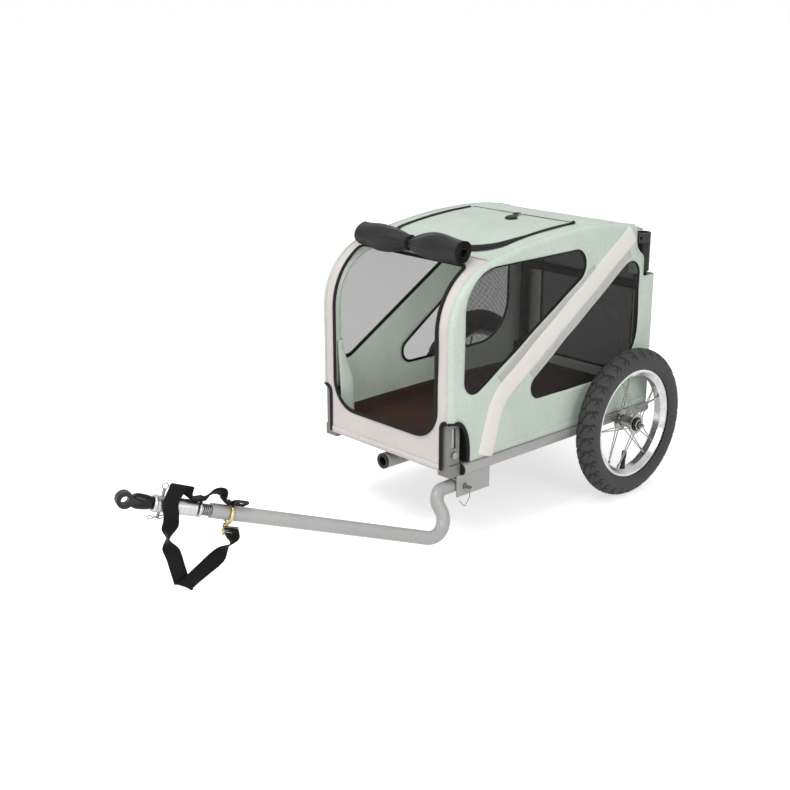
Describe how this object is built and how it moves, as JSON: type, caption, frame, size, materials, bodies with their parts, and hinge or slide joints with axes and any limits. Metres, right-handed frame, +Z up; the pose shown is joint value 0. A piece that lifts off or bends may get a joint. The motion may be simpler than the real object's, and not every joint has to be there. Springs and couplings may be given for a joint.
{
  "type": "dog bike trailer",
  "caption": "Tubular dog trailer with a fabric cabin, rolled-up front door, mesh windows, spoked wheels and a bent tow arm with a sprung hitch and safety strap.",
  "frame": {"origin": "on the ground under the middle of the bounding box", "axes": "+X towards the trailer's left, +Y towards its rear, +Z up"},
  "size_m": [0.506, 1.2034, 0.5519],
  "materials": {
    "mint_fabric": "woven polyester, matt",
    "white_fabric": "woven polyester, matt",
    "black_fabric": "soft rolled cloth, matt",
    "black_mesh": "open knitted mesh",
    "floor_fabric": "padded cloth over board",
    "grey_paint": "silver grey powder coat",
    "pale_paint": "pale powder coat",
    "black_paint": "black powder coat",
    "zinc": "bright zinc plate",
    "chrome": "polished",
    "bare_aluminium": "turned, bright",
    "black_plastic": "moulded, matt",
    "black_webbing": "woven strap",
    "tyre_rubber": "block tread, matt",
    "brass_plate": "brass plated, bright"
  },
  "bodies": {
    "frame": {"left_rail": "grey_paint", "right_rail": "grey_paint", "left_rail_plug": "black_plastic", "right_rail_plug": "black_plastic", "front_cross_tube": "grey_paint", "rear_cross_tube": "grey_paint", "axle_tube": "grey_paint", "floor_mat": "floor_fabric", "front_socket": "grey_paint", "front_socket_bush": "black_plastic", "front_left_bracket": "grey_paint", "front_right_bracket": "grey_paint", "rear_left_bracket": "black_paint", "rear_right_bracket": "black_paint", "front_left_hinge_bolt": "zinc", "front_right_hinge_bolt": "zinc", "rear_left_hinge_bolt": "zinc", "rear_right_hinge_bolt": "zinc", "front_panel": "white_fabric", "roof_panel": "mint_fabric", "rear_panel": "mint_fabric", "left_side_panel": "mint_fabric", "right_side_panel": "mint_fabric", "left_windows": "black_mesh", "right_windows": "black_mesh", "left_diagonal_band": "white_fabric", "right_diagonal_band": "white_fabric", "front_door_roll": "black_fabric", "arm_channel": "grey_paint", "arm_pivot_bolt": "zinc", "left_axle": "zinc", "right_axle": "zinc"},
    "front_hoop": {"front_hoop": "pale_paint"},
    "rear_hoop": {"rear_hoop": "pale_paint", "left_handle_socket": "black_plastic", "right_handle_socket": "black_plastic"},
    "left_wheel": {"left_tyre": "tyre_rubber", "left_rim": "bare_aluminium", "left_spokes": "zinc", "left_hub": "chrome"},
    "right_wheel": {"right_tyre": "tyre_rubber", "right_rim": "bare_aluminium", "right_spokes": "zinc", "right_hub": "chrome"},
    "left_release_button": {"left_release_button": "zinc"},
    "right_release_button": {"right_release_button": "zinc"},
    "roof_hatch": {"roof_hatch": "mint_fabric"},
    "tow_arm": {"tow_arm": "grey_paint", "hitch_spring": "zinc", "safety_strap": "black_webbing", "strap_tail": "black_webbing", "strap_slider": "black_plastic", "strap_buckle": "black_plastic", "snap_hook": "brass_plate"},
    "arm_lock_pin": {"arm_lock_pin": "zinc", "lock_pin_bail": "zinc"},
    "hitch_link": {"hitch_core": "zinc"},
    "coupler": {"coupler_sleeve": "bare_aluminium", "hitch_eye": "black_plastic"},
    "hitch_pin": {"hitch_pin": "zinc"}
  },
  "joints": [
    {"name": "left_wheel_spin", "type": "hinge", "parent": "frame", "child": "left_wheel", "pos_m": [0.216, 0.4516, 0.15], "axis": [1, 0, 0], "continuous": true},
    {"name": "right_wheel_spin", "type": "hinge", "parent": "frame", "child": "right_wheel", "pos_m": [-0.216, 0.4516, 0.15], "axis": [1, 0, 0], "continuous": true},
    {"name": "left_release_button_press", "type": "slide", "parent": "frame", "child": "left_release_button", "axis": [-1, 0, 0], "range_m": [0, 0.004], "stiffness_N_per_m": 400},
    {"name": "right_release_button_press", "type": "slide", "parent": "frame", "child": "right_release_button", "axis": [1, 0, 0], "range_m": [0, 0.004], "stiffness_N_per_m": 400},
    {"name": "front_hoop_fold", "type": "hinge", "parent": "frame", "child": "front_hoop", "pos_m": [0, 0.0046, 0.178], "axis": [1, 0, 0], "range_deg": [-69, 0]},
    {"name": "rear_hoop_fold", "type": "hinge", "parent": "frame", "child": "rear_hoop", "pos_m": [0, 0.5506, 0.2], "axis": [1, 0, 0], "range_deg": [0, 72]},
    {"name": "roof_hatch_lift", "type": "hinge", "parent": "frame", "child": "roof_hatch", "pos_m": [0, 0.3578, 0.549], "axis": [-1, 0, 0], "range_deg": [0, 100]},
    {"name": "tow_arm_swing", "type": "hinge", "parent": "frame", "child": "tow_arm", "pos_m": [0.153, 0.0796, 0.113], "axis": [0, 0, -1], "range_deg": [0, 60]},
    {"name": "arm_lock_pin_pull", "type": "slide", "parent": "frame", "child": "arm_lock_pin", "axis": [1, 0, 0], "range_m": [0, 0.025]},
    {"name": "hitch_yaw", "type": "hinge", "parent": "tow_arm", "child": "hitch_link", "pos_m": [0.06683, -0.46707, 0.17743], "axis": [0.0891, 0.2886, 0.9533], "range_deg": [-20, 20], "stiffness_Nm_per_rad": 20, "deforming": ["hitch_spring", "safety_strap", "strap_tail", "strap_slider"]},
    {"name": "hitch_pitch", "type": "hinge", "parent": "hitch_link", "child": "coupler", "pos_m": [0.06683, -0.46707, 0.17743], "axis": [0.9555, -0.2949, 0], "range_deg": [-20, 20], "stiffness_Nm_per_rad": 20, "deforming": ["hitch_spring", "safety_strap", "strap_tail", "strap_slider"]},
    {"name": "hitch_pin_pull", "type": "slide", "parent": "coupler", "child": "hitch_pin", "axis": [0.0891, 0.2886, 0.9533], "range_m": [0, 0.045]}
  ],
  "couplings": [
    {"joint": "rear_hoop_fold", "follows": "front_hoop_fold", "ratio": -1.0435}
  ]
}
